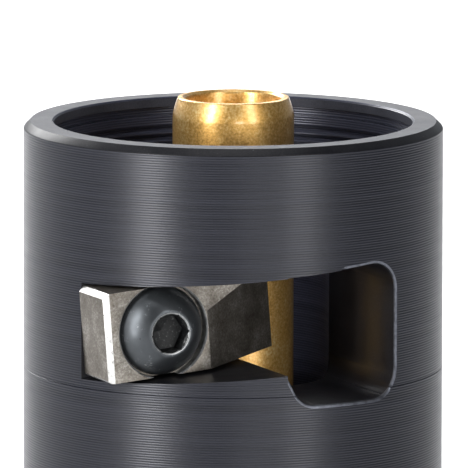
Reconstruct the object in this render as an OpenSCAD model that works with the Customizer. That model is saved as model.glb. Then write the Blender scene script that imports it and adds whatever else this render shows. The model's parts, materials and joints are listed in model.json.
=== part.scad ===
// Hollow face-cutting head: a tubular body with one steel cutter block clamped in a side slot,
// a chip window beside it and a hollow brass live pilot that runs on two ball bearings.
// Origin: centre of the back face. +Z points along the axis towards the open cutting end.

/* [Body] */
// Outside diameter of the body
body_d = 48; // [47:0.5:50]
// Height of the body from back face to rim
body_h = 78; // [78:1:90]
// Chamfer on the outer edges of the body
edge_chamfer = 0.8; // [0.4:0.1:1.2]
// Diameter of the open counterbore in the rim
mouth_d = 41; // [40:0.5:42]
// Depth of the counterbore
mouth_depth = 10; // [9:0.5:11]
// Diameter of the bore around the pilot
chip_bore_d = 22; // [21:0.5:22]
// Distance from the rim to the fine turned witness line
witness_drop = 28.2; // [27:0.1:30]
// Depth of the witness line
witness_depth = 0.05; // [0.02:0.01:0.12]

/* [Mouth rings] */
// Distance from the rim to the retaining groove
ring_groove_drop = 1.15; // [0.8:0.05:1.5]
// Width of the retaining groove
ring_groove_w = 1.05; // [0.8:0.05:1.3]
// Depth of the retaining groove into the wall
ring_groove_depth = 0.7; // [0.4:0.1:0.9]
// Distance from the rim to the first thread groove
thread_drop = 3.3; // [3:0.1:4]
// Pitch of the thread grooves
thread_pitch = 1; // [0.75:0.25:1.25]
// Depth of one thread groove
thread_depth = 0.5; // [0.3:0.05:0.6]
// Number of thread grooves
thread_turns = 6; // [4:1:7]

/* [Slot and window] */
// Angle between the slot's milling direction and the front
mill_angle = 25; // [22:1:28]
// Rise of the slot towards the window
slot_tilt = 4.5; // [3:0.5:6]
// Distance from the rim to the slot's centre line, on the milling axis
slot_drop = 19.95; // [19.5:0.05:20.5]
// Height of the slot
slot_h = 11; // [10.8:0.1:11.4]
// Distance from the axis to the flat seat of the cutter block
seat_y = 8; // [7.8:0.1:8.3]
// Left wall of the window, measured from the milling axis
window_left = -4.2; // [-5:0.1:-4]
// Right wall of the window, measured from the milling axis
window_right = 10.05; // [9.5:0.05:10.2]
// Distance from the rim to the bottom of the window
window_drop = 29.3; // [28.5:0.1:29.5]
// Radius of the window's right corners
window_r = 3.3; // [2.5:0.1:3.5]
// Set-in of the window's lower left corner
window_heel = 0.7; // [0.4:0.1:0.9]
// Radius of the window's lower left corner
window_heel_r = 2.6; // [2.2:0.1:2.8]

/* [Cutter block] */
// Height of the cutter block
block_h = 10.3; // [10:0.1:10.4]
// Thickness of the cutter block
block_t = 7; // [6.8:0.1:7.2]
// Outer end of the block, measured from the milling axis
block_outer = -22.6; // [-22.8:0.1:-22]
// Cutting edge of the block, measured from the milling axis
block_tip = 0.7; // [0:0.1:1]
// Ridge where the rake face starts
rake_start = -10.1; // [-10.4:0.1:-9.8]
// Height of the ridge above the block's centre line
ridge_top = 1.55; // [1:0.05:2]
// Rise of the relief line above the ridge, in degrees
relief_angle = 24.5; // [22:0.5:28]
// Chamfer on the outer end of the block
block_chamfer = 0.6; // [0.4:0.05:0.8]
// Travel of the block either way along its seat
block_travel = 0.2; // [0.1:0.05:0.2]
// Diameter of the recess that takes the screw's head
counterbore_d = 10.7; // [10.6:0.1:10.8]
// Depth of the recess that takes the screw's head
counterbore_depth = 1.3; // [1:0.1:1.5]

/* [Cutter screw] */
// Thread diameter of the cutter screw
screw_d = 6; // [6:6]
// Head diameter of the cutter screw
screw_head_d = 10.2; // [10.1:0.1:10.2]
// Head height of the cutter screw
screw_head_h = 3.3; // [3:0.1:3.4]
// Width across the flats of the cutter screw's socket
screw_af = 4; // [4:4]
// Position of the cutter screw along the block
screw_x = -15.65; // [-15.8:0.05:-15.5]
// Outside diameter of the steel thread insert
insert_d = 9; // [8:0.5:9]
// Length of the thread insert
insert_l = 11; // [9:0.5:12]

/* [Pilot] */
// Outside diameter of the pilot
pilot_d = 13.9; // [13.6:0.1:14]
// Diameter of the pilot's top edge
pilot_top_d = 12.8; // [12.4:0.1:13]
// Inside diameter of the pilot
pilot_bore_d = 10.9; // [10:0.1:11]
// Height of the pilot above the rim
pilot_stand = 2.7; // [2:0.1:4]
// Outside diameter of the thrust ring that rests on the upper bearing
thrust_d = 17.2; // [16.8:0.1:17.4]
// Thickness of the thrust ring
thrust_h = 1.6; // [1.2:0.1:1.8]

/* [Bearings] */
// Bore of each bearing
bearing_bore = 15; // [15:15]
// Outside diameter of each bearing
bearing_od = 24; // [24:24]
// Width of each bearing
bearing_w = 5; // [5:5]
// Ball diameter
ball_d = 2.7; // [2.6:0.05:2.7]
// Number of balls in each bearing
ball_count = 14; // [12:1:14]
// Gap between the two bearings
bearing_gap = 5; // [4:0.5:5]
// Height of the shoulder that the upper bearing rests against
shoulder_z = 42; // [42:0.5:43]

/* [Drive hub] */
// Diameter of the hub's flange
hub_d = 40; // [38:0.5:40]
// Thickness of the hub's flange
hub_h = 9; // [8.5:0.5:10]
// Height of the hub's spigot above the back face
spigot_z = 20; // [19:0.5:21]
// Diameter of the arbor bore
arbor_d = 16; // [16:16]
// Depth of the arbor bore
arbor_depth = 16; // [15:0.5:16.5]
// Width of the drive slot
key_w = 8.4; // [8:0.1:8.6]
// Depth of the drive slot
key_depth = 5.6; // [5:0.1:6]
// Pitch circle diameter of the hub screws
hub_pcd = 32; // [31:0.5:32]
// Number of hub screws
hub_screw_count = 4; // [4:4]

/* [Hidden] */

$fn = 96;
far = 40;               // reach of cuts that run out into the open
gap = 0.02;             // clearance between faces that slide on each other
running_gap = 0.05;     // clearance of running fits
break_edge = 0.2;       // small broken edge
window_step = 0.08;     // step between the ceilings of the slot and the window

body_r = body_d / 2;
mouth_r = mouth_d / 2;
chip_bore_r = chip_bore_d / 2;
rim_z = body_h;
mouth_floor_z = rim_z - mouth_depth;
hub_recess_r = hub_d / 2 + running_gap;

journal_r = bearing_bore / 2;
housing_r = bearing_od / 2;
ball_r = ball_d / 2;
pitch_r = (journal_r + housing_r) / 2;
ring_t = 1.25;
race_r = ball_r + running_gap;
upper_z = shoulder_z - bearing_w;
lower_z = upper_z - bearing_gap - bearing_w;
spacer_z = lower_z + bearing_w;
cage_t = 0.8;
cage_h = 3.8;

shim_h = 0.6;
shim_z = lower_z - shim_h;
clip_t = 1.2;
bearing_clip_z = shim_z - clip_t;
pilot_clip_z = lower_z - clip_t;
clip_groove = 0.6;
pilot_clip_groove = 0.4;

pilot_r = pilot_d / 2;
pilot_bore_r = pilot_bore_d / 2;
pilot_top_z = rim_z + pilot_stand;
pilot_end_z = pilot_clip_z - 1.2;
seal_z = shoulder_z + thrust_h + 0.4;
seal_h = 1.6;

spigot_r = housing_r - running_gap;
hub_screw_r = 2;
hub_head_r = 3.5;
hub_head_h = 4;
hub_head_sink = 0.4;
hub_screw_l = 12;
hub_af_r = 3 / 2 / cos(30);
o_ring_z = 14;
o_ring_w = 1.3;
o_ring_depth = 1;
web_hole_r = 3.3;

screw_r = screw_d / 2;
head_flat_r = 2.6;      // flat top of the domed head
head_band = 0.4;        // straight edge under the dome
block_front = seat_y + block_t;
head_seat = block_front - counterbore_depth;

// Moves children into the frame of the milling cut: +X along the slot, -Y out of the slot.
module milling_frame() {
    translate([0, 0, rim_z - slot_drop]) rotate([0, 0, mill_angle]) children();
}

// The same frame, tilted as the slot is.
module slot_frame() {
    milling_frame() rotate([0, -slot_tilt, 0]) children();
}

// Extrudes an outline drawn in the slot's side view outwards between two distances from the axis.
module mill(from, to) {
    translate([0, -from, 0]) rotate([90, 0, 0]) linear_extrude(height = to - from) children();
}

module ring(inner, outer, h) {
    rotate_extrude() translate([inner, 0]) square([outer - inner, h]);
}

// V-shaped notches cut into the wall of the mouth, as points from top to bottom.
function thread_points() = [
    for (i = [0 : thread_turns - 1], step = [0 : 2])
        let (z = rim_z - thread_drop - (i + step * 0.45) * thread_pitch)
            [mouth_r + (step == 1 ? thread_depth : 0), z]
];

function body_profile() = concat(
    [[hub_recess_r + break_edge, 0], [body_r - edge_chamfer, 0], [body_r, edge_chamfer],
     [body_r, rim_z - witness_drop - witness_depth],
     [body_r - witness_depth, rim_z - witness_drop],
     [body_r, rim_z - witness_drop + witness_depth],
     [body_r, rim_z - edge_chamfer], [body_r - edge_chamfer, rim_z],
     [mouth_r + break_edge, rim_z], [mouth_r, rim_z - break_edge],
     [mouth_r, rim_z - ring_groove_drop],
     [mouth_r + ring_groove_depth, rim_z - ring_groove_drop],
     [mouth_r + ring_groove_depth, rim_z - ring_groove_drop - ring_groove_w],
     [mouth_r, rim_z - ring_groove_drop - ring_groove_w]],
    thread_points(),
    [[mouth_r, mouth_floor_z], [chip_bore_r + break_edge, mouth_floor_z],
     [chip_bore_r, mouth_floor_z - break_edge], [chip_bore_r, shoulder_z],
     [housing_r, shoulder_z],
     [housing_r, bearing_clip_z + clip_t], [housing_r + clip_groove, bearing_clip_z + clip_t],
     [housing_r + clip_groove, bearing_clip_z], [housing_r, bearing_clip_z],
     [housing_r, hub_h], [hub_recess_r, hub_h], [hub_recess_r, break_edge]]
);

// Height of the window's upper edge, a hair above the slot's and parallel to it.
function window_top(x) = (slot_h / 2 + window_step) / cos(slot_tilt) + x * tan(slot_tilt);

// Height of the slot's floor in the window's side view.
function slot_floor(x) = x * tan(slot_tilt) - slot_h / 2 / cos(slot_tilt);

// Side view of the chip window: square corner on the slot, round corners on the right, and a
// set-in round corner below the slot's floor on the left.
module window_outline() {
    bottom = slot_drop - window_drop;
    corner_x = window_right - window_r;
    corner_z = window_top(corner_x) - window_r / cos(slot_tilt);
    heel_x = window_left + window_heel + window_heel_r;
    hull() {
        polygon([
            [window_left, slot_floor(window_left) - window_step], [heel_x, bottom],
            [window_left, window_top(window_left)]
        ]);
        translate([heel_x, bottom + window_heel_r]) circle(r = window_heel_r, $fn = 64);
        for (centre_z = [bottom + window_r, corner_z])
            translate([corner_x, centre_z]) circle(r = window_r, $fn = 64);
    }
}

module body() {
    color("#24262d") difference() {
        rotate_extrude() polygon(body_profile());
        milling_frame() mill(0, far) window_outline();
        slot_frame() {
            mill(seat_y, far) translate([-far, -slot_h / 2]) square([far + 4, slot_h]);
            translate([screw_x, 0, 0]) {
                mill(seat_y - insert_l, far) circle(d = insert_d);
                mill(seat_y - insert_l - 2, far) circle(r = screw_r);
            }
        }
        hub_screw_places() translate([0, 0, hub_h - 1]) cylinder(r = hub_screw_r, h = 10);
    }
}

// Plan view of the cutter block with its ground rake face.
module block_plan() {
    polygon([
        [block_outer, seat_y + gap], [block_tip, seat_y + gap], [block_tip, seat_y + gap + 0.1],
        [rake_start, block_front], [block_outer + block_chamfer, block_front],
        [block_outer, block_front - block_chamfer]
    ]);
}

// Side view of the full block: chamfered at its outer end.
module block_side() {
    half = block_h / 2;
    polygon([
        [block_outer + block_chamfer / 2, -half], [block_tip, -half], [block_tip, half],
        [block_outer + block_chamfer, half], [block_outer, half - block_chamfer],
        [block_outer, block_chamfer / 2 - half]
    ]);
}

// Side view of the part of the block that stays at full thickness above the rake face.
module block_brow() {
    half = block_h / 2;
    brow_end = rake_start + (half - ridge_top) / tan(relief_angle + slot_tilt);
    polygon([[rake_start, ridge_top], [brow_end, half], [rake_start, half]]);
}

module cutter_block() {
    color("#8d8983") slot_frame() difference() {
        union() {
            intersection() {
                rotate([180, 0, 0]) translate([0, 0, -block_h]) linear_extrude(height = 2 * block_h)
                    block_plan();
                mill(0, far) block_side();
            }
            mill(seat_y + gap, block_front) block_brow();
        }
        translate([screw_x, 0, 0]) mill(head_seat, far) circle(d = counterbore_d);
        for (x = [screw_x - block_travel, screw_x + block_travel])
            translate([x, 0, 0]) mill(0, far) circle(r = screw_r + 0.3);
        mill(0, far) translate([screw_x - block_travel, -screw_r - 0.3])
            square([2 * block_travel, 2 * screw_r + 0.6]);
    }
}

// Button-head screw, drawn standing on its head's bearing face.
module button_screw() {
    head_r = screw_head_d / 2;
    dome_z = (pow(head_flat_r, 2) + pow(screw_head_h, 2) - pow(head_r, 2) - pow(head_band, 2))
        / 2 / (screw_head_h - head_band);
    dome_r = sqrt(pow(head_flat_r, 2) + pow(screw_head_h - dome_z, 2));
    shank_l = head_seat - seat_y + insert_l - 1;
    difference() {
        union() {
            intersection() {
                cylinder(r = head_r, h = screw_head_h);
                translate([0, 0, dome_z]) sphere(r = dome_r);
            }
            translate([0, 0, -shank_l]) cylinder(r = screw_r - running_gap, h = shank_l + 0.1);
        }
        translate([0, 0, screw_head_h - 2.1])
            cylinder(r = screw_af / 2 / cos(30), h = 3, $fn = 6);
        translate([0, 0, screw_head_h - 0.25])
            cylinder(r1 = screw_af / 2, r2 = screw_af / 2 + 0.6, h = 0.51);
    }
}

module cutter_screw() {
    color("#2b2d31") slot_frame() translate([screw_x, -head_seat - gap, 0])
        rotate([90, 0, 0]) button_screw();
}

module thread_insert() {
    color("#b9b7ae") slot_frame() translate([screw_x, 0, 0]) mill(seat_y - insert_l, seat_y)
        difference() {
            circle(d = insert_d);
            circle(r = screw_r);
        }
}

module pilot_sleeve() {
    groove_r = journal_r - pilot_clip_groove;
    color("#b98a3e") rotate_extrude() polygon([
        [pilot_bore_r + 0.5, pilot_end_z], [journal_r - 0.3, pilot_end_z],
        [journal_r, pilot_end_z + 0.3], [journal_r, pilot_clip_z],
        [groove_r, pilot_clip_z], [groove_r, pilot_clip_z + clip_t],
        [journal_r, pilot_clip_z + clip_t], [journal_r, shoulder_z + thrust_h - 0.3],
        [journal_r - 0.3, shoulder_z + thrust_h], [pilot_r, shoulder_z + thrust_h],
        [pilot_r, rim_z + 0.5],
        [pilot_r - 0.16, rim_z + 1.2], [pilot_r - 0.37, rim_z + 2],
        [pilot_top_d / 2, pilot_top_z - 0.15], [pilot_top_d / 2 - 0.15, pilot_top_z],
        [pilot_bore_r + 0.3, pilot_top_z], [pilot_bore_r, pilot_top_z - 0.5],
        [pilot_bore_r, pilot_end_z + 0.5]
    ]);
}

module thrust_ring() {
    color("#b98a3e") translate([0, 0, shoulder_z]) ring(journal_r, thrust_d / 2, thrust_h);
}

module chip_seal() {
    color("#1c1c1e") translate([0, 0, seal_z])
        ring(pilot_r + 2 * running_gap, chip_bore_r, seal_h);
}

// One bearing ring with its ball groove; the race faces outwards on an inner ring.
module race_ring(inner, outer) {
    rotate_extrude() difference() {
        translate([inner, 0]) square([outer - inner, bearing_w]);
        translate([pitch_r, bearing_w / 2]) circle(r = race_r);
    }
}

module inner_ring() {
    race_ring(journal_r, journal_r + ring_t);
}

module outer_ring() {
    race_ring(housing_r - ring_t, housing_r);
}

module ball_places() {
    for (i = [0 : ball_count - 1])
        rotate([0, 0, i * 360 / ball_count]) translate([pitch_r, 0, bearing_w / 2]) children();
}

module balls() {
    ball_places() sphere(r = ball_r);
}

module cage() {
    difference() {
        translate([0, 0, (bearing_w - cage_h) / 2])
            ring(pitch_r - cage_t / 2, pitch_r + cage_t / 2, cage_h);
        ball_places() rotate([0, 90, 0]) cylinder(r = race_r, h = 3 * cage_t, center = true);
    }
}

module upper_inner_ring() {
    color("#c9ccd0") translate([0, 0, upper_z]) inner_ring();
}

module upper_outer_ring() {
    color("#c9ccd0") translate([0, 0, upper_z]) outer_ring();
}

module upper_balls() {
    color("#e3e5e8") translate([0, 0, upper_z]) balls();
}

module upper_cage() {
    color("#c2a055") translate([0, 0, upper_z]) cage();
}

module lower_inner_ring() {
    color("#c9ccd0") translate([0, 0, lower_z]) inner_ring();
}

module lower_outer_ring() {
    color("#c9ccd0") translate([0, 0, lower_z]) outer_ring();
}

module lower_balls() {
    color("#e3e5e8") translate([0, 0, lower_z]) balls();
}

module lower_cage() {
    color("#c2a055") translate([0, 0, lower_z]) cage();
}

module inner_spacer() {
    color("#a8abb0") translate([0, 0, spacer_z]) ring(journal_r, journal_r + 1, bearing_gap);
}

module outer_spacer() {
    color("#a8abb0") translate([0, 0, spacer_z]) ring(housing_r - 1, housing_r, bearing_gap);
}

module preload_shim() {
    color("#8f9398") translate([0, 0, shim_z]) ring(housing_r - 1.8, housing_r - running_gap, shim_h);
}

// Snap ring with a gap at the back and a drilled ear on each side of it.
module snap_ring(inner, outer, ear_at, ear_r) {
    ear_angle = 9;
    linear_extrude(height = clip_t) difference() {
        union() {
            difference() {
                circle(r = outer);
                circle(r = inner);
                translate([-ear_at * sin(ear_angle), 0]) square([2 * ear_at * sin(ear_angle), far]);
            }
            for (side = [-1, 1]) rotate([0, 0, side * (ear_angle + 3)])
                translate([0, ear_at]) circle(r = ear_r);
        }
        for (side = [-1, 1]) rotate([0, 0, side * (ear_angle + 3)])
            translate([0, ear_at]) circle(r = 0.5);
    }
}

module bearing_circlip() {
    color("#3a3c40") translate([0, 0, bearing_clip_z])
        snap_ring(housing_r - 1.4, housing_r + clip_groove, housing_r - 1, 1.1);
}

module pilot_circlip() {
    color("#3a3c40") translate([0, 0, pilot_clip_z])
        snap_ring(journal_r - pilot_clip_groove, journal_r + 1, journal_r + 0.8, 1);
}

module hub_screw_places() {
    for (i = [0 : hub_screw_count - 1])
        rotate([0, 0, (i + 0.5) * 360 / hub_screw_count]) translate([hub_pcd / 2, 0, 0]) children();
}

module drive_hub() {
    arbor_r = arbor_d / 2;
    groove_r = spigot_r - o_ring_depth;
    color("#7f848a") difference() {
        rotate_extrude() polygon([
            [arbor_r + 0.5, 0], [hub_d / 2 - 0.3, 0], [hub_d / 2, 0.3], [hub_d / 2, hub_h],
            [spigot_r, hub_h], [spigot_r, o_ring_z], [groove_r, o_ring_z],
            [groove_r, o_ring_z + o_ring_w], [spigot_r, o_ring_z + o_ring_w],
            [spigot_r, spigot_z - 0.5], [spigot_r - 0.5, spigot_z],
            [web_hole_r, spigot_z], [web_hole_r, arbor_depth], [arbor_r, arbor_depth],
            [arbor_r, 0.5]
        ]);
        translate([-far, -key_w / 2, -1]) cube([2 * far, key_w, key_depth + 1]);
        hub_screw_places() {
            translate([0, 0, -1]) cylinder(r = hub_head_r + 0.3, h = hub_head_h + hub_head_sink + 1);
            cylinder(r = hub_screw_r + 0.25, h = hub_h + 1);
        }
    }
}

module hub_screws() {
    color("#2b2d31") hub_screw_places() translate([0, 0, hub_head_sink]) difference() {
        union() {
            cylinder(r = hub_head_r, h = hub_head_h);
            translate([0, 0, hub_head_h - 0.1]) cylinder(r = hub_screw_r, h = hub_screw_l + 0.1);
        }
        translate([0, 0, -1]) cylinder(r = hub_af_r, h = 3, $fn = 6);
    }
}

module hub_o_ring() {
    color("#151517") translate([0, 0, o_ring_z + o_ring_w / 2]) rotate_extrude()
        translate([spigot_r - o_ring_depth / 2, 0]) circle(r = o_ring_depth / 2 - 0.01);
}

body();
cutter_block();
cutter_screw();
thread_insert();
pilot_sleeve();
thrust_ring();
chip_seal();
upper_inner_ring();
upper_outer_ring();
upper_balls();
upper_cage();
lower_inner_ring();
lower_outer_ring();
lower_balls();
lower_cage();
inner_spacer();
outer_spacer();
preload_shim();
bearing_circlip();
pilot_circlip();
drive_hub();
hub_screws();
hub_o_ring();
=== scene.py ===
import json
import math

import bmesh
import bpy
from mathutils import Matrix, Vector


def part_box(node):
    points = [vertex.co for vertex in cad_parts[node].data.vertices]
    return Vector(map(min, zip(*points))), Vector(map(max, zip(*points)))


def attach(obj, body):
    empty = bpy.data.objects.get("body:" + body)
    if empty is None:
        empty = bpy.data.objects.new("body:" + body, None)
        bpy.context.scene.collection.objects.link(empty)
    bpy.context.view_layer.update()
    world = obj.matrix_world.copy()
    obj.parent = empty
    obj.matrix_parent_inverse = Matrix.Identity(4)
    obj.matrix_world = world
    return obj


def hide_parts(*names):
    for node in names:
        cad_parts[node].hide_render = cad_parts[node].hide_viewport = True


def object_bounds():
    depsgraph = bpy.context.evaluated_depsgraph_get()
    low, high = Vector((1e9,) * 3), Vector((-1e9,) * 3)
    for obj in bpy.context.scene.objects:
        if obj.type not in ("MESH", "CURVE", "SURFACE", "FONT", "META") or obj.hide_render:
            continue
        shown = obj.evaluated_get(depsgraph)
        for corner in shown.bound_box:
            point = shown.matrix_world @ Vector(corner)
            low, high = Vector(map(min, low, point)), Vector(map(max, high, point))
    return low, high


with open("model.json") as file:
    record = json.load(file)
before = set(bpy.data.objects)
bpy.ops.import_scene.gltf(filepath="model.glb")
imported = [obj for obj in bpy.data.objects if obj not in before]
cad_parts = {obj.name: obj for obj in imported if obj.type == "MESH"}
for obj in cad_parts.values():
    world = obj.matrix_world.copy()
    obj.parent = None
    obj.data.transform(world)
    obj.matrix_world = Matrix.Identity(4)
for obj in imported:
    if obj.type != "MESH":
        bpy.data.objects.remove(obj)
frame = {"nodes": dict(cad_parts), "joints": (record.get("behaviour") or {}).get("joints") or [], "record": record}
cad_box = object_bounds()

MM = 0.001
ON_SURFACE = 0.02 * MM      # how near a point counts as on a surface
NEAR_AXIS = 0.01 * MM       # where a turned outline ends, because it can't touch the axis
SECOND, THIRD, FOURTH = 1, 2, 3     # the numbers of a piece's further materials

# Places taken from the frame
BODY_LOW, BODY_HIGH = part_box("body")
PILOT_LOW, PILOT_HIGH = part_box("pilot_sleeve")
SCREW_JOINT = next(j for j in frame["joints"] if j["name"] == "screw_turn")
PILOT_BORE = next(m for m in frame["record"]["mounts"] if m["name"] == "pilot_bore")
RIM_Z = BODY_HIGH.z
BODY_R = BODY_HIGH.x

# Body
EDGE_CHAMFER = 0.8 * MM
INNER_EDGE = 0.2 * MM
MOUTH_R = 20.5 * MM
MOUTH_DEPTH = 10 * MM
RING_GROOVE_DROP = 1.15 * MM
RING_GROOVE_W = 1.05 * MM
RING_GROOVE_DEPTH = 0.7 * MM
THREAD_DROP = 3.3 * MM
THREAD_PITCH = 1 * MM
THREAD_DEPTH = 0.5 * MM
THREAD_TURNS = 6
CHIP_BORE_R = 11 * MM
SHOULDER_Z = 42 * MM
HOUSING_R = 12 * MM
CLIP_Z = 25.2 * MM
CLIP_T = 1.2 * MM
CLIP_GROOVE = 0.6 * MM
HUB_H = 9 * MM
HUB_RECESS_R = 20.05 * MM
HUB_PCR = 16 * MM
HUB_SCREW_R = 2 * MM
HUB_SCREW_DEPTH = 9 * MM
WITNESS_DROP = 28.2 * MM
WITNESS_DEPTH = 0.05 * MM
LATHE_SEGMENTS = 240
UPRIGHT = 0.97
DEBURR = 0.36 * MM

# Slot and window, measured in the milling frame: +X along the slot, -Y out of it
MILL_ANGLE = math.radians(25)
SLOT_TILT = math.radians(4.5)
SLOT_DROP = 19.95 * MM
SLOT_H = 11 * MM
SEAT_Y = 8 * MM
WINDOW_LEFT = -4.2 * MM
WINDOW_RIGHT = 10.05 * MM
WINDOW_DROP = 29.3 * MM
WINDOW_R = 3.3 * MM
WINDOW_HEEL = 0.7 * MM
WINDOW_HEEL_R = 2.6 * MM
WINDOW_STEP = 0.08 * MM
SLOT_END = 4 * MM
OUTSIDE = 40 * MM

# Pilot
PILOT_R = 6.95 * MM
PILOT_TOP_R = 6.4 * MM
PILOT_LIP = 0.2 * MM
JOURNAL_R = 7.5 * MM
JOURNAL_EDGE = 0.3 * MM
JOURNAL_TOP = SHOULDER_Z + 1.6 * MM
PILOT_CLIP_Z = PILOT_LOW.z + 1.2 * MM
PILOT_GROOVE_R = 7.1 * MM

# Cutter block and its screw
BLOCK_BEVEL = 0.09 * MM
RECESS_BEVEL = 0.17 * MM
SCREW_X = -15.65 * MM
SCREW_R = 3 * MM
SCREW_PITCH = 1 * MM
SCREW_RIDGE = 0.35 * MM
SCREW_PLAIN = 4 * MM
INSERT_R = 4.5 * MM
INSERT_L = 11 * MM
BLOCK_T = 7 * MM
RECESS_R = 5.35 * MM
RECESS_DEPTH = 1.3 * MM
HEAD_R = 5.1 * MM
HEAD_H = 3.3 * MM
HEAD_FLAT_R = 2.6 * MM
HEAD_BAND = 0.4 * MM
SOCKET_AF = 4 * MM
SOCKET_DEPTH = 2.1 * MM
SOCKET_R = SOCKET_AF / 2 / math.cos(math.radians(30))
SOCKET_TIP = 0.7 * MM
HEAD_WEAR = 0.12 * MM

MILLING = Matrix.Translation((0, 0, RIM_Z - SLOT_DROP)) @ Matrix.Rotation(MILL_ANGLE, 4, "Z")
SLOT = MILLING @ Matrix.Rotation(-SLOT_TILT, 4, "Y")


# ---------------------------------------------------------------- mesh helpers

def new_object(name, mesh):
    obj = bpy.data.objects.new(name, mesh)
    bpy.context.scene.collection.objects.link(obj)
    return obj


def mesh_from(bm, name):
    mesh = bpy.data.meshes.new(name)
    bmesh.ops.recalc_face_normals(bm, faces=bm.faces)
    bm.to_mesh(mesh)
    bm.free()
    return mesh


def lathe(name, outline, segments=LATHE_SEGMENTS):
    """A closed solid of revolution from a closed outline of (radius, height) points."""
    bm = bmesh.new()
    rings = []
    for step in range(segments):
        turn = 2 * math.pi * step / segments
        rings.append([bm.verts.new((r * math.cos(turn), r * math.sin(turn), z)) for r, z in outline])
    count = len(outline)
    for step in range(segments):
        near, ahead = rings[step], rings[(step + 1) % segments]
        for i in range(count):
            j = (i + 1) % count
            bm.faces.new((near[i], ahead[i], ahead[j], near[j]))
    return new_object(name, mesh_from(bm, name))


def prism(name, outline, front, back, matrix):
    """An outline of (x, z) points in the slot's side view, from one distance off the axis to another."""
    bm = bmesh.new()
    near = [bm.verts.new(matrix @ Vector((x, -front, z))) for x, z in outline]
    away = [bm.verts.new(matrix @ Vector((x, -back, z))) for x, z in outline]
    count = len(outline)
    bm.faces.new(near)
    bm.faces.new(list(reversed(away)))
    for i in range(count):
        j = (i + 1) % count
        bm.faces.new((near[i], away[i], away[j], near[j]))
    return new_object(name, mesh_from(bm, name))


def cut(target, cutter):
    """Subtracts the cutter from the target and removes it."""
    step = target.modifiers.new("cut", "BOOLEAN")
    step.operation = "DIFFERENCE"
    step.solver = "EXACT"
    step.object = cutter
    apply_modifiers(target)
    bpy.data.objects.remove(cutter)


def apply_modifiers(obj):
    bpy.context.view_layer.update()
    graph = bpy.context.evaluated_depsgraph_get()
    mesh = bpy.data.meshes.new_from_object(obj.evaluated_get(graph))
    obj.modifiers.clear()
    obj.data = mesh


def smooth(obj, angle):
    for face in obj.data.polygons:
        face.use_smooth = True
    obj.data.set_sharp_from_angle(angle=math.radians(angle))


def bevel_edges(obj, wanted, width):
    """Bevels the edges for which wanted(edge) is true; the bevel takes the second material."""
    bm = bmesh.new()
    bm.from_mesh(obj.data)
    bmesh.ops.remove_doubles(bm, verts=bm.verts, dist=0.03 * MM)
    edges = [e for e in bm.edges if len(e.link_faces) == 2 and wanted(e)]
    for face in bevel(bm, edges, width, 2, False):
        face.material_index = SECOND
    bm.to_mesh(obj.data)
    bm.free()


def bevel(bm, edges, width, segments, clamped):
    """Bevels the edges and returns the new faces."""
    made = bmesh.ops.bevel(bm, geom=edges, offset=width, segments=segments, profile=0.5,
                           affect="EDGES", clamp_overlap=clamped)
    return made["faces"]


def mark_faces(obj, wanted, number):
    """Gives the faces for which wanted(centre, normal) is true another of the piece's materials."""
    for face in obj.data.polygons:
        if wanted(face.center, face.normal):
            face.material_index = number


def round_walls(obj, *radii):
    """Gives the walls at these radii the normals of true cylinders."""
    mesh = obj.data
    normals = [corner.vector.copy() for corner in mesh.corner_normals]
    for face in mesh.polygons:
        on_wall = any(abs(off_axis(face.center) - radius) < 5 * ON_SURFACE for radius in radii)
        if not on_wall or abs(facing_out(face.center, face.normal)) < UPRIGHT:
            continue
        for corner, point in zip(face.loop_indices, [mesh.vertices[i].co for i in face.vertices]):
            way = Vector((point.x, point.y, 0)).normalized()
            normals[corner] = way if way.dot(face.normal) > 0 else -way
    mesh.normals_split_custom_set(normals)


def off_axis(point):
    return math.hypot(point.x, point.y)


def facing_out(centre, normal):
    """1 where a face looks straight away from the axis, -1 where it looks straight at it."""
    return Vector((centre.x, centre.y, 0)).normalized().dot(normal)


def is_sharp(edge, degrees):
    return edge.calc_face_angle(0) > math.radians(degrees)


def arc(centre_x, centre_z, radius, start, end, steps):
    turns = [math.radians(start + (end - start) * i / steps) for i in range(steps + 1)]
    return [(centre_x + radius * math.cos(t), centre_z + radius * math.sin(t)) for t in turns]


# ---------------------------------------------------------------- pieces

def body_outline():
    return outside_outline() + mouth_outline() + bore_outline()


def outside_outline():
    """Up the outside, over the witness line and the end chamfer's rounded corner."""
    witness_z = RIM_Z - WITNESS_DROP
    corner_z = RIM_Z - EDGE_CHAMFER
    return [
        (HUB_RECESS_R + INNER_EDGE, 0), (BODY_R - EDGE_CHAMFER, 0), (BODY_R, EDGE_CHAMFER),
        (BODY_R, witness_z - WITNESS_DEPTH), (BODY_R - WITNESS_DEPTH, witness_z),
        (BODY_R, witness_z + WITNESS_DEPTH), (BODY_R, corner_z - 0.16 * MM),
        (BODY_R - 0.03 * MM, corner_z - 0.02 * MM), (BODY_R - 0.12 * MM, corner_z + 0.12 * MM),
        (BODY_R - EDGE_CHAMFER, RIM_Z),
    ]


def mouth_outline():
    """Down the mouth, with its ring groove and thread."""
    groove_z = RIM_Z - RING_GROOVE_DROP
    groove_r = MOUTH_R + RING_GROOVE_DEPTH
    outline = [
        (MOUTH_R + INNER_EDGE, RIM_Z), (MOUTH_R, RIM_Z - INNER_EDGE),
        (MOUTH_R, groove_z), (groove_r, groove_z),
        (groove_r, groove_z - RING_GROOVE_W), (MOUTH_R, groove_z - RING_GROOVE_W),
    ]
    for turn in range(THREAD_TURNS):
        top = RIM_Z - THREAD_DROP - turn * THREAD_PITCH
        outline += [(MOUTH_R, top), (MOUTH_R + THREAD_DEPTH, top - 0.45 * THREAD_PITCH),
                    (MOUTH_R, top - 0.9 * THREAD_PITCH)]
    return outline + [(MOUTH_R, RIM_Z - MOUTH_DEPTH)]


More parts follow.
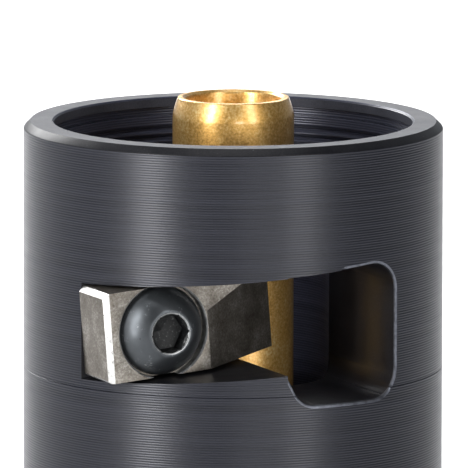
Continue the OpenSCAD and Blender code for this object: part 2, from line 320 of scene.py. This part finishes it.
def bore_outline():
    """From the floor of the mouth down the chip bore, the bearing housing and the hub's seat."""
    floor = RIM_Z - MOUTH_DEPTH
    clip_top = CLIP_Z + CLIP_T
    return [
        (CHIP_BORE_R + INNER_EDGE, floor), (CHIP_BORE_R, floor - INNER_EDGE),
        (CHIP_BORE_R, SHOULDER_Z), (HOUSING_R, SHOULDER_Z), (HOUSING_R, clip_top),
        (HOUSING_R + CLIP_GROOVE, clip_top), (HOUSING_R + CLIP_GROOVE, CLIP_Z),
        (HOUSING_R, CLIP_Z), (HOUSING_R, HUB_H), (HUB_RECESS_R, HUB_H), (HUB_RECESS_R, INNER_EDGE),
    ]


def window_top(x):
    return (SLOT_H / 2 + WINDOW_STEP) / math.cos(SLOT_TILT) + x * math.tan(SLOT_TILT)


def slot_floor(x):
    return x * math.tan(SLOT_TILT) - SLOT_H / 2 / math.cos(SLOT_TILT)


def window_outline():
    """Square corner on the slot, round corners on the right, set-in round corner at the lower left."""
    bottom = SLOT_DROP - WINDOW_DROP
    right_x = WINDOW_RIGHT - WINDOW_R
    high_z = window_top(right_x) - WINDOW_R / math.cos(SLOT_TILT)
    heel = Vector((WINDOW_LEFT + WINDOW_HEEL + WINDOW_HEEL_R, bottom + WINDOW_HEEL_R))
    edge = Vector((WINDOW_LEFT, slot_floor(WINDOW_LEFT) - WINDOW_STEP))
    way = edge - heel
    tangent = math.degrees(math.atan2(way.y, way.x) + math.acos(WINDOW_HEEL_R / way.length))
    return ([tuple(edge)] + arc(heel.x, heel.y, WINDOW_HEEL_R, tangent, 270, 12)
            + arc(right_x, bottom + WINDOW_R, WINDOW_R, 270, 360, 14)
            + arc(right_x, high_z, WINDOW_R, 0, 90 + math.degrees(SLOT_TILT), 14)
            + [(WINDOW_LEFT, window_top(WINDOW_LEFT))])


def box_outline(left, right, low, high):
    return [(left, low), (right, low), (right, high), (left, high)]


def circle_outline(x, radius, steps=64):
    return arc(x, 0, radius, 0, 360, steps)[:-1]


def make_body():
    slot = box_outline(-OUTSIDE, SLOT_END, -SLOT_H / 2, SLOT_H / 2)
    insert_hole = circle_outline(SCREW_X, INSERT_R)
    body = lathe("turned_body", body_outline())
    cut(body, prism("window", window_outline(), 0, OUTSIDE, MILLING))
    cut(body, prism("slot", slot, SEAT_Y, OUTSIDE, SLOT))
    cut(body, prism("insert_hole", insert_hole, SEAT_Y - INSERT_L, OUTSIDE, SLOT))
    for quarter in range(4):
        cut(body, hub_screw_hole(quarter))
    # The bevelled window edges take the second material, lighter partly as rubbed anodising and partly as a
    # painted highlight.
    bevel_edges(body, is_mouth_of_cut, DEBURR)
    part_end_caps(body)
    mark_faces(body, is_milled, THIRD)
    # The end face and the land take the fourth material; on the land its lighter colour is painted light.
    mark_faces(body, is_matt_end_and_painted_land, FOURTH)
    smooth(body, 28)
    round_walls(body, BODY_R, MOUTH_R, CHIP_BORE_R, HOUSING_R)
    return body


def hub_screw_hole(quarter):
    low, high = HUB_H - MM, HUB_H + HUB_SCREW_DEPTH
    outline = [(NEAR_AXIS, low), (HUB_SCREW_R, low), (HUB_SCREW_R, high), (NEAR_AXIS, high)]
    hole = lathe("hole", outline, 24)
    turn = Matrix.Rotation(math.pi / 4 + quarter * math.pi / 2, 4, "Z")
    hole.data.transform(turn @ Matrix.Translation((HUB_PCR, 0, 0)))
    return hole


def is_mouth_of_cut(edge):
    """The window's right, lower and left edges, where they break through the outside of the body."""
    ends = [v.co for v in edge.verts]
    low, high = RIM_Z - WINDOW_DROP - 2 * MM, RIM_Z - MOUTH_DEPTH - 2 * MM
    if not all(abs(off_axis(p) - BODY_R) < ON_SURFACE and low < p.z < high for p in ends):
        return False
    on_witness_line = all(abs(p.z - RIM_Z + WITNESS_DROP) < 2 * WITNESS_DEPTH for p in ends)
    middle = SLOT.inverted() @ ((ends[0] + ends[1]) / 2)
    below = middle.z < 0 and middle.x > WINDOW_LEFT - 0.4 * MM
    at_right = middle.x > WINDOW_RIGHT - 2 * WINDOW_R
    return not on_witness_line and (below or at_right) and is_sharp(edge, 12)


def part_end_caps(body):
    """Splits each outside face that runs into the end of a bevel; its main part stays on the cylinder."""
    bm = bmesh.new()
    bm.from_mesh(body.data)
    for face in list(bm.faces):
        corners = list(face.verts)
        count = len(corners)
        outside = [abs(off_axis(v.co) - BODY_R) < ON_SURFACE for v in corners]
        upright = facing_out(face.calc_center_median(), face.normal) > UPRIGHT
        if not upright or count < 5 or all(outside) or sum(outside) < 3:
            continue
        leaves = [i for i in range(count) if outside[i] and not outside[(i + 1) % count]]
        returns = [i for i in range(count) if outside[i] and not outside[i - 1]]
        if len(leaves) == 1:
            bmesh.utils.face_split(face, corners[leaves[0]], corners[returns[0]])
    bm.to_mesh(body.data)
    bm.free()


def is_milled(centre, normal):
    """The walls of the slot and the window, and the chamfer around the end face."""
    away = off_axis(centre)
    on_chamfer = 0.3 < normal.z < 0.9 and away > MOUTH_R + MM and centre.z > RIM_Z - EDGE_CHAMFER
    in_band = SHOULDER_Z + MM < centre.z < RIM_Z - MOUTH_DEPTH - MM
    return on_chamfer or in_band and CHIP_BORE_R + 0.05 * MM < away < BODY_R - 0.5 * MM


def is_matt_end_and_painted_land(centre, normal):
    """The end face, and the plain land just inside the mouth, whose lighter colour is painted light."""
    on_end = normal.z > 0.9 and centre.z > RIM_Z - ON_SURFACE
    on_land = off_axis(centre) < MOUTH_R + ON_SURFACE and centre.z > RIM_Z - RING_GROOVE_DROP
    return on_end or on_land


def make_pilot():
    pilot = lathe("turned_pilot", journal_outline() + pilot_taper() + pilot_end_outline(), 192)
    smooth(pilot, 24)
    return pilot


def journal_outline():
    """The lower part that the bearings sit on, with the circlip's groove."""
    low, top = PILOT_LOW.z, JOURNAL_TOP
    clip_top = PILOT_CLIP_Z + CLIP_T
    return [
        (pilot_bore_r() + 0.5 * MM, low), (JOURNAL_R - JOURNAL_EDGE, low), (JOURNAL_R, low + JOURNAL_EDGE),
        (JOURNAL_R, PILOT_CLIP_Z), (PILOT_GROOVE_R, PILOT_CLIP_Z),
        (PILOT_GROOVE_R, clip_top), (JOURNAL_R, clip_top),
        (JOURNAL_R, top - JOURNAL_EDGE), (JOURNAL_R - JOURNAL_EDGE, top), (PILOT_R, top),
    ]


def pilot_taper():
    """The outside of the free end, which closes in more and more towards its top."""
    steps = 12
    rise = PILOT_HIGH.z - RIM_Z - 0.6 * MM
    shares = [i / steps for i in range(steps + 1)]
    return [(PILOT_R - (PILOT_R - PILOT_TOP_R) * share ** 1.6, RIM_Z + 0.4 * MM + rise * share)
            for share in shares]


def pilot_end_outline():
    """Over the rounded lip and back down the bore."""
    bore, top = pilot_bore_r(), PILOT_HIGH.z
    return arc(PILOT_TOP_R - PILOT_LIP, top - PILOT_LIP, PILOT_LIP, 20, 90, 4) + [
        (bore + 0.38 * MM, top), (bore + 0.1 * MM, top - 0.25 * MM),
        (bore, top - 0.55 * MM), (bore, PILOT_LOW.z + 0.5 * MM),
    ]


def pilot_bore_r():
    return PILOT_BORE["dims"]["r_mm"] * MM


def make_block():
    """The cutter block's own flat faces, with every ground edge slightly broken."""
    mesh = frame["nodes"]["cutter_block"].data.copy()
    block = new_object("ground_block", mesh)
    bm = bmesh.new()
    bm.from_mesh(mesh)
    bmesh.ops.remove_doubles(bm, verts=bm.verts, dist=0.001 * MM)
    bmesh.ops.dissolve_limit(bm, angle_limit=math.radians(1), verts=bm.verts, edges=bm.edges)
    rim = [e for e in bm.edges if all(on_recess_rim(v.co) for v in e.verts)]
    worn = bevel(bm, rim, RECESS_BEVEL, 1, False)
    worn += [f for f in bm.faces if in_recess_wall(f.calc_center_median(), f.normal)]
    for face in worn:
        face.material_index = THIRD
    edges = [e for e in bm.edges if len(e.link_faces) == 2 and is_sharp(e, 25)]
    for face in bevel(bm, edges, BLOCK_BEVEL, 2, True):
        face.material_index = THIRD
    bm.to_mesh(mesh)
    bm.free()
    mark_faces(block, is_polished, SECOND)
    smooth(block, 20)
    return block


def on_recess_rim(point):
    place = SLOT.inverted() @ point
    away = math.hypot(place.x - SCREW_X, place.z)
    return abs(away - RECESS_R) < ON_SURFACE and abs(place.y + SEAT_Y + BLOCK_T) < ON_SURFACE


def in_recess_wall(centre, normal):
    place = SLOT.inverted() @ centre
    way = SLOT.to_3x3().inverted() @ normal
    inside = math.hypot(place.x - SCREW_X, place.z) < RECESS_R + ON_SURFACE / 2
    return inside and abs(way.y) < 0.9 and place.y < -SEAT_Y - BLOCK_T + RECESS_DEPTH


def is_polished(centre, normal):
    """The chamfers on the block's outer end."""
    place = SLOT.inverted() @ centre
    way = SLOT.to_3x3().inverted() @ normal
    return -0.9 < way.x < -0.4 and place.x < SCREW_X - RECESS_R


def make_screw():
    """Button-head screw: domed head, chamfered hexagonal socket, shank with thread ridges."""
    screw = lathe("button_screw", head_outline() + shank_outline(), 128)
    cut(screw, hex_socket())
    cut(screw, socket_cone())
    bevel_edges(screw, is_worn_on_head, HEAD_WEAR)
    # The socket's faces take the third material, which is painted shade.
    mark_faces(screw, is_in_socket, THIRD)
    smooth(screw, 30)
    stand = SLOT.to_3x3().to_4x4() @ Matrix.Rotation(math.pi / 2, 4, "X")
    screw.data.transform(Matrix.Translation(Vector(SCREW_JOINT["pos_m"])) @ stand)
    return screw


def head_outline():
    """Flat top, dome through the flat's edge and the band's edge, and underside."""
    flat, head, band = HEAD_FLAT_R, HEAD_R, HEAD_BAND
    dome_z = (flat ** 2 + HEAD_H ** 2 - head ** 2 - band ** 2) / 2 / (HEAD_H - band)
    dome_r = math.hypot(flat, HEAD_H - dome_z)
    start = math.degrees(math.atan2(band - dome_z, head))
    end = math.degrees(math.atan2(HEAD_H - dome_z, flat))
    dome = list(reversed(arc(0, dome_z, dome_r, start, end, 20)))
    return [(2 * NEAR_AXIS, HEAD_H)] + dome + [(head, 0.1 * MM), (head - 0.1 * MM, 0)]


def shank_outline():
    outer, core = SCREW_R - 0.05 * MM, SCREW_R - SCREW_RIDGE
    length = BLOCK_T - RECESS_DEPTH + INSERT_L - MM
    outline = [(outer, 0)]
    for turn in range(int((length - SCREW_PLAIN - SCREW_PITCH) / SCREW_PITCH)):
        z = -SCREW_PLAIN - turn * SCREW_PITCH
        outline += [(outer, z), (core, z - 0.5 * SCREW_PITCH), (outer, z - 0.95 * SCREW_PITCH)]
    return outline + [(core, -length), (2 * NEAR_AXIS, -length)]


def hex_socket():
    """A hexagonal prism with a drilled tip."""
    bm = bmesh.new()
    turns = [math.radians(60 * i) for i in range(6)]
    corners = [(SOCKET_R * math.cos(turn), SOCKET_R * math.sin(turn)) for turn in turns]
    top = [bm.verts.new((x, y, HEAD_H + MM)) for x, y in corners]
    low = [bm.verts.new((x, y, HEAD_H - SOCKET_DEPTH)) for x, y in corners]
    tip = bm.verts.new((0, 0, HEAD_H - SOCKET_DEPTH - SOCKET_TIP))
    bm.faces.new(top)
    for i in range(6):
        j = (i + 1) % 6
        bm.faces.new((top[i], top[j], low[j], low[i]))
        bm.faces.new((low[i], low[j], tip))
    return new_object("socket", mesh_from(bm, "socket"))


def socket_cone():
    """The chamfer at the mouth of the socket."""
    axis, wide, low = NEAR_AXIS / 10, SOCKET_R - 0.02 * MM, HEAD_H - 1.2 * MM
    return lathe("cone", [(axis, low), (SOCKET_R - 0.9 * MM, low), (wide, HEAD_H + 0.02 * MM),
                          (wide, HEAD_H + MM), (axis, HEAD_H + MM)], 96)


def is_in_socket(centre, normal):
    return off_axis(centre) < SOCKET_R - 0.1 * MM and 0 < centre.z < HEAD_H - 0.15 * MM


def is_worn_on_head(edge):
    """The mouth of the socket and the rim of the head, with the screw standing on its head's seat."""
    ends = [v.co for v in edge.verts]
    at_mouth = all(p.z > HEAD_H - ON_SURFACE / 2 and abs(off_axis(p) - SOCKET_R) < 0.14 * MM for p in ends)
    at_rim = all(abs(p.z - HEAD_BAND) < ON_SURFACE / 2 and off_axis(p) > HEAD_R - ON_SURFACE for p in ends)
    return (at_mouth or at_rim) and is_sharp(edge, 8)


# ---------------------------------------------------------------- materials

class Nodes:
    """A short way to write a material's node tree."""

    def __init__(self, name):
        self.material = bpy.data.materials.new(name)
        self.material.use_nodes = True
        self.tree = self.material.node_tree
        self.shader = self.tree.nodes["Principled BSDF"]

    def add(self, kind, **values):
        node = self.tree.nodes.new("ShaderNode" + kind)
        for key, value in values.items():
            setattr(node, key, value)
        return node

    def link(self, source, target):
        self.tree.links.new(source, target)

    def place(self):
        return self.add("TexCoord").outputs["Object"]

    def math(self, operation, a, b=None):
        node = self.add("Math", operation=operation)
        for socket, value in zip(node.inputs, (a, b)):
            if value is None:
                continue
            if isinstance(value, (int, float)):
                socket.default_value = value
            else:
                self.link(value, socket)
        return node.outputs[0]

    def weigh(self, a, share_a, b, share_b):
        """The sum of two values, each times its share."""
        return self.math("ADD", self.math("MULTIPLY", a, share_a), self.math("MULTIPLY", b, share_b))

    def noise(self, vector, scale, detail=2.0, roughness=0.5):
        node = self.add("TexNoise")
        node.inputs["Scale"].default_value = scale
        node.inputs["Detail"].default_value = detail
        node.inputs["Roughness"].default_value = roughness
        self.link(vector, node.inputs["Vector"])
        return node.outputs["Fac"]

    def stretched(self, vector, scale):
        node = self.add("Mapping")
        node.inputs["Scale"].default_value = scale
        self.link(vector, node.inputs["Vector"])
        return node.outputs["Vector"]

    def ramp(self, value, *stops):
        node = self.add("ValToRGB")
        elements = node.color_ramp.elements
        while len(elements) < len(stops):
            elements.new(0.5)
        for element, (position, colour) in zip(elements, stops):
            element.position = position
            element.color = (*colour, 1)
        self.link(value, node.inputs["Fac"])
        return node.outputs["Color"]

    def range(self, value, low, high, out_low, out_high):
        node = self.add("MapRange")
        ends = {"From Min": low, "From Max": high, "To Min": out_low, "To Max": out_high}
        for key, number in ends.items():
            node.inputs[key].default_value = number
        self.link(value, node.inputs["Value"])
        return node.outputs["Result"]

    def painted_light_inside(self, colour, radius, gain):
        """Painted light: multiplies a colour nearer to the axis than the radius."""
        split, join = self.add("SeparateXYZ"), self.add("CombineXYZ")
        self.link(self.place(), split.inputs[0])
        self.link(split.outputs["X"], join.inputs["X"])
        self.link(split.outputs["Y"], join.inputs["Y"])
        span, scale = self.add("VectorMath", operation="LENGTH"), self.add("VectorMath", operation="SCALE")
        self.link(join.outputs[0], span.inputs[0])
        self.link(colour, scale.inputs[0])
        share = self.range(span.outputs["Value"], radius, radius + 0.1 * MM, gain, 1)
        self.link(share, scale.inputs["Scale"])
        return scale.outputs[0]

    def bump(self, height, distance, strength=1.0, before=None):
        node = self.add("Bump")
        node.inputs["Strength"].default_value = strength
        node.inputs["Distance"].default_value = distance
        self.link(height, node.inputs["Height"])
        if before is not None:
            self.link(before, node.inputs["Normal"])
        return node.outputs["Normal"]

    def set(self, **values):
        for key, value in values.items():
            socket = self.shader.inputs[key.replace("_", " ")]
            if isinstance(value, bpy.types.NodeSocket):
                self.link(value, socket)
            elif socket.type == "RGBA":
                socket.default_value = (*value, 1)
            else:
                socket.default_value = value
        return self.material


def turning_lines(n, per_metre, vector):
    """Rings of slightly uneven height, one tool pass after another, along the axis."""
    split = n.add("SeparateXYZ")
    n.link(vector, split.inputs[0])
    along = split.outputs["Z"]
    wave = n.math("SINE", n.math("MULTIPLY", along, 2 * math.pi * per_metre))
    uneven = n.noise(n.stretched(vector, (1, 1, per_metre * 0.3)), 1.0, 1.0, 0.6)
    return n.weigh(wave, 0.42, uneven, 1.6)


def anodised():
    n = Nodes("black_anodised_turned")
    place = n.place()
    lines = turning_lines(n, 3530, place)
    grain = n.noise(place, 5200, 2.0)
    colour = n.ramp(n.weigh(lines, 0.45, grain, 0.35),
                    (0.15, (0.0045, 0.005, 0.0082)), (0.85, (0.020, 0.0215, 0.033)))
    # Painted light: the mouth's groove and thread and the bores below are painted 3.4 times lighter, and the chip
    # bore and below 3 times more, as if lit inside.
    colour = n.painted_light_inside(colour, MOUTH_R + MM, 3.4)
    colour = n.painted_light_inside(colour, CHIP_BORE_R + 0.3 * MM, 3)
    rough = n.range(lines, -0.3, 1.6, 0.26, 0.38)
    normal = n.bump(grain, 0.002 * MM, 0.5, n.bump(lines, 0.032 * MM, 0.9))
    return n.set(Base_Color=colour, Metallic=0.2, Roughness=rough, Normal=normal, Specular_IOR_Level=0.6)


def milled_anodised():
    """The smooth walls an end mill leaves, anodised black, with a few dry specks."""
    n = Nodes("black_anodised_milled")
    place = n.place()
    grain = n.noise(place, 4200, 3.0, 0.6)
    cloud = n.noise(place, 300, 3.0)
    colour = n.ramp(n.weigh(grain, 0.6, cloud, 0.4),
                    (0.4, (0.006, 0.006, 0.008)), (0.64, (0.016, 0.016, 0.019)), (0.72, (0.09, 0.09, 0.10)))
    return n.set(Base_Color=colour, Roughness=n.range(cloud, 0.3, 0.7, 0.3, 0.42),
                 Normal=n.bump(grain, 0.004 * MM, 0.5), Specular_IOR_Level=0.3)


def matt_end_and_painted_land():
    """Black anodising over a matt machined end face; on the land inside the mouth the same lighter colour is
    painted light.
    """
    n = Nodes("black_anodised_matt_and_painted_land")
    place = n.place()
    grain = n.noise(place, 5200, 2.0)
    cloud = n.noise(place, 240, 3.0)
    colour = n.ramp(n.weigh(grain, 0.5, cloud, 0.5),
                    (0.3, (0.030, 0.032, 0.042)), (0.7, (0.063, 0.067, 0.086)))
    return n.set(Base_Color=colour, Roughness=n.range(cloud, 0.3, 0.7, 0.42, 0.55),
                 Normal=n.bump(grain, 0.006 * MM, 0.5), Specular_IOR_Level=0.25)


def brass():
    n = Nodes("turned_brass")
    place = n.place()
    lines = turning_lines(n, 6500, place)
    grain = n.noise(place, 3600, 3.0, 0.6)
    patch = n.noise(place, 220, 3.0)
    colour = n.ramp(n.weigh(grain, 0.7, patch, 0.3),
                    (0.3, (0.54, 0.27, 0.060)), (0.5, (0.86, 0.50, 0.135)), (0.7, (1.0, 0.78, 0.38)))
    rough = n.range(grain, 0.3, 0.7, 0.3, 0.46)
    normal = n.bump(grain, 0.008 * MM, 0.5, n.bump(lines, 0.004 * MM, 0.4))
    return n.set(Base_Color=colour, Metallic=0.8, Roughness=rough, Normal=normal, Coat_Weight=0.9,
                 Coat_Roughness=0.14)


def ground_steel():
    n = Nodes("ground_tool_steel")
    place = n.place()
    grain = n.noise(place, 3800, 4.0, 0.7)
    stain = n.noise(place, 380, 4.0, 0.6)
    scratch = n.noise(n.stretched(place, (350, 350, 5200)), 1.0, 2.0, 0.6)
    colour = n.ramp(n.weigh(grain, 0.55, stain, 0.45),
                    (0.36, (0.10, 0.085, 0.068)), (0.52, (0.215, 0.195, 0.17)), (0.66, (0.42, 0.40, 0.365)))
    normal = n.bump(grain, 0.012 * MM, 0.5, n.bump(scratch, 0.006 * MM, 0.4))
    rough = n.range(grain, 0.3, 0.7, 0.34, 0.52)
    return n.set(Base_Color=colour, Metallic=0.85, Roughness=rough, Normal=normal)


def bright_edge(name, colour, roughness):
    """Metal that shows where an edge is ground or rubbed bare; on the body's window edges its lighter colour is
    partly a painted highlight.
    """
    n = Nodes(name)
    place = n.place()
    wear = n.noise(place, 1500, 4.0, 0.6)
    tint = n.ramp(wear, (0.34, tuple(c * 0.6 for c in colour)), (0.6, colour))
    rough = n.range(wear, 0.3, 0.7, roughness * 0.8, roughness * 1.4)
    return n.set(Base_Color=tint, Metallic=0.9, Roughness=rough, Normal=n.bump(wear, 0.004 * MM, 0.4))


def black_oxide():
    n = Nodes("black_oxide_steel")
    place = n.place()
    wear = n.noise(place, 900, 6.0, 0.65)
    cloud = n.noise(place, 260, 4.0, 0.6)
    scratch = n.noise(n.stretched(place, (1500, 9000, 2500)), 1.0, 4.0, 0.7)
    marks = n.math("MULTIPLY", n.range(wear, 0.60, 0.70, 0, 1), n.range(scratch, 0.45, 0.6, 0, 1))
    colour = n.ramp(n.weigh(marks, 0.8, cloud, 0.25),
                    (0.05, (0.055, 0.060, 0.066)), (0.3, (0.125, 0.135, 0.145)), (0.9, (0.46, 0.46, 0.45)))
    normal = n.bump(wear, 0.006 * MM, 0.6)
    rough = n.range(wear, 0.3, 0.7, 0.27, 0.42)
    return n.set(Base_Color=colour, Metallic=0.7, Roughness=rough, Normal=normal)


def socket_painted_shade():
    """Painted shade: black oxide painted nearly black inside the socket, with a few lighter specks."""
    n = Nodes("painted_shade_socket")
    place = n.place()
    socket_speckle = n.noise(place, 3200, 4.0, 0.65)
    colour = n.ramp(socket_speckle, (0.5, (0.004, 0.0045, 0.005)), (0.62, (0.02, 0.021, 0.022)),
                    (0.7, (0.16, 0.16, 0.16)))
    return n.set(Base_Color=colour, Metallic=0.3, Roughness=0.5, Normal=n.bump(socket_speckle, 0.02 * MM, 0.7))


def plain_metal(name, colour, roughness, per_metre=5000, depth=0.004):
    n = Nodes(name)
    place = n.place()
    lines = turning_lines(n, per_metre, place)
    patch = n.noise(place, 300, 4.0, 0.6)
    dark = tuple(c * 0.7 for c in colour)
    tint = n.ramp(patch, (0.3, dark), (0.7, colour))
    rough = n.range(patch, 0.3, 0.7, roughness * 0.8, roughness * 1.3)
    return n.set(Base_Color=tint, Metallic=1.0, Roughness=rough, Normal=n.bump(lines, depth * MM, 0.4))


def rubber():
    n = Nodes("black_rubber")
    place = n.place()
    pores = n.noise(place, 4000, 3.0, 0.6)
    colour = n.ramp(pores, (0.3, (0.012, 0.012, 0.013)), (0.7, (0.028, 0.028, 0.03)))
    return n.set(Base_Color=colour, Roughness=0.7, Normal=n.bump(pores, 0.01 * MM, 0.5))


def floor_paint():
    n = Nodes("pale_floor")
    place = n.place()
    patch = n.noise(place, 2.0, 3.0)
    colour = n.ramp(patch, (0.3, (0.86, 0.86, 0.87)), (0.7, (0.9, 0.9, 0.9)))
    return n.set(Base_Color=colour, Roughness=0.8)


def paint(obj, *materials):
    """Sets the materials; faces keep the number of the one they use."""
    used = [face.material_index for face in obj.data.polygons]
    obj.data.materials.clear()
    for material in materials:
        obj.data.materials.append(material)
    if len(materials) > 1:
        obj.data.polygons.foreach_set("material_index", used)


def finish_frame_nodes():
    """Better materials for the CAD nodes that stay as they are."""
    looks = {
        "bearing_steel": plain_metal("ring_steel", (0.6, 0.61, 0.63), 0.16, 9000, 0.001),
        "polished_balls": plain_metal("ball_steel", (0.75, 0.76, 0.78), 0.06, 9000, 0.0),
        "cage_brass": plain_metal("pressed_brass", (0.7, 0.5, 0.2), 0.3, 7000, 0.002),
        "plain_aluminium": plain_metal("turned_aluminium", (0.6, 0.61, 0.63), 0.3),
        "bright_steel": plain_metal("bright_steel_turned", (0.5, 0.5, 0.49), 0.24),
        "spring_steel": plain_metal("phosphated_spring_steel", (0.06, 0.06, 0.065), 0.42, 5000, 0.001),
        "turned_steel": plain_metal("hub_steel", (0.28, 0.29, 0.31), 0.3, 5200, 0.005),
        "black_oxide": black_oxide(),
        "black_rubber": rubber(),
        "ground_tool_steel": ground_steel(),
        "black_anodised": anodised(),
        "brass": brass(),
    }
    for entry in frame["record"]["subparts"]:
        paint(frame["nodes"][entry["node"]], looks[entry["material_slot"]])
    return looks


# ---------------------------------------------------------------- stage

def make_floor():
    bm = bmesh.new()
    bmesh.ops.create_grid(bm, x_segments=2, y_segments=2, size=4)
    floor = new_object("floor", mesh_from(bm, "floor"))
    floor.location.z = cad_box[0].z
    floor.data.transform(floor.matrix_world)
    paint(floor, floor_paint())


def soft_box(name, place, back, width, height, power):
    """A rectangular light; back is the way that its unlit side looks."""
    light = bpy.data.lights.new(name, "AREA")
    light.shape = "RECTANGLE"
    light.size, light.size_y = width, height
    light.energy = power
    obj = bpy.data.objects.new(name, light)
    obj.location = place
    obj.rotation_mode = "QUATERNION"
    obj.rotation_quaternion = back.to_track_quat("Z", "Y")
    bpy.context.scene.collection.objects.link(obj)


def aimed_box(name, azimuth, elevation, distance, width, height, power):
    """A soft box aimed at the object. Azimuth 0 is the camera's side, positive to the right."""
    a, e = math.radians(azimuth), math.radians(elevation)
    aim = Vector((0, 0, RIM_Z * 0.7))
    way = Vector((math.sin(a) * math.cos(e), -math.cos(a) * math.cos(e), math.sin(e)))
    soft_box(name, aim + way * distance, way, width, height, power)


def standing_strip(name, azimuth, distance, width, height, power):
    """A soft box that stands on the floor beside the object and faces its axis."""
    a = math.radians(azimuth)
    way = Vector((math.sin(a), -math.cos(a), 0))
    centre_z = height / 2 + 0.002
    soft_box(name, way * distance + Vector((0, 0, centre_z)), way, width, height, power)


def make_lights():
    standing_strip("left_strip", -45, 0.34, 0.085, 0.40, 1.3)
    standing_strip("right_strip", 37, 0.36, 0.10, 0.40, 0.62)
    aimed_box("top_box", 0, 80, 0.9, 0.5, 0.5, 1.2)
    aimed_box("fill_box", 12, 5, 0.9, 0.3, 0.12, 0.8)
    aimed_box("back_left_box", -146, 27, 0.8, 0.45, 0.35, 3.0)
    soft_box("floor_box", Vector((-0.15, 0.95, 0.6)), Vector((0, 0, 1)), 0.9, 0.7, 13)
    make_world()


def make_world():
    """Light falls off from behind and left of the object to the camera's side and the right."""
    world = bpy.data.worlds.new("studio")
    world.use_nodes = True
    nodes, links = world.node_tree.nodes, world.node_tree.links
    way, share, fade = (nodes.new("ShaderNode" + kind) for kind in ("TexCoord", "VectorMath", "MapRange"))
    share.operation = "DOT_PRODUCT"
    share.inputs[1].default_value = (-0.5, 0.86, 0)
    links.new(way.outputs["Generated"], share.inputs[0])
    links.new(share.outputs["Value"], fade.inputs["Value"])
    for key, number in (("From Min", -0.4), ("From Max", 0.9), ("To Min", 0.04), ("To Max", 0.42)):
        fade.inputs[key].default_value = number
    links.new(fade.outputs["Result"], nodes["Background"].inputs["Strength"])
    nodes["Background"].inputs["Color"].default_value = (0.88, 0.93, 1.0, 1)
    bpy.context.scene.world = world


def make_camera():
    """A long lens, eight degrees above the rim, aimed a little below it."""
    lens, sensor = 742.2, 36
    elevation = math.radians(8.08)
    distance = 45.96 * BODY_R
    rim = Vector((0, 0, RIM_Z))
    place = rim + distance * Vector((0, -math.cos(elevation), math.sin(elevation)))
    aim = rim + Vector((0.0041 * BODY_R, 0, -0.5501 * BODY_R))
    camera = bpy.data.cameras.new("camera")
    camera.lens, camera.sensor_width = lens, sensor
    camera.clip_start, camera.clip_end = 0.05, 20
    obj = bpy.data.objects.new("camera", camera)
    roll = Matrix.Rotation(0.002, 4, "Z")
    turn = (place - aim).to_track_quat("Z", "Y").to_matrix().to_4x4()
    obj.matrix_world = Matrix.Translation(place) @ turn @ roll
    bpy.context.scene.collection.objects.link(obj)
    bpy.context.scene.camera = obj


def add_piece(piece, body, node, slot, *materials):
    paint(piece, *materials)
    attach(piece, body)
    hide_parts(node)


make_camera()
looks = finish_frame_nodes()
add_piece(make_body(), "body", "body", "black_anodised",
          looks["black_anodised"], bright_edge("rubbed_edge_and_painted_highlight", (0.20, 0.21, 0.245), 0.42),
          milled_anodised(), matt_end_and_painted_land())
add_piece(make_pilot(), "pilot", "pilot_sleeve", "brass", looks["brass"])
add_piece(make_block(), "cutter", "cutter_block", "ground_tool_steel",
          looks["ground_tool_steel"], bright_edge("polished_tool_steel", (0.72, 0.71, 0.69), 0.3),
          bright_edge("worn_steel_edge", (0.62, 0.62, 0.61), 0.36))
add_piece(make_screw(), "screw", "cutter_screw", "black_oxide",
          looks["black_oxide"], bright_edge("rubbed_steel_edge", (0.42, 0.43, 0.43), 0.3), socket_painted_shade())
make_floor()
make_lights()
bpy.context.scene.view_settings.view_transform = "Standard"
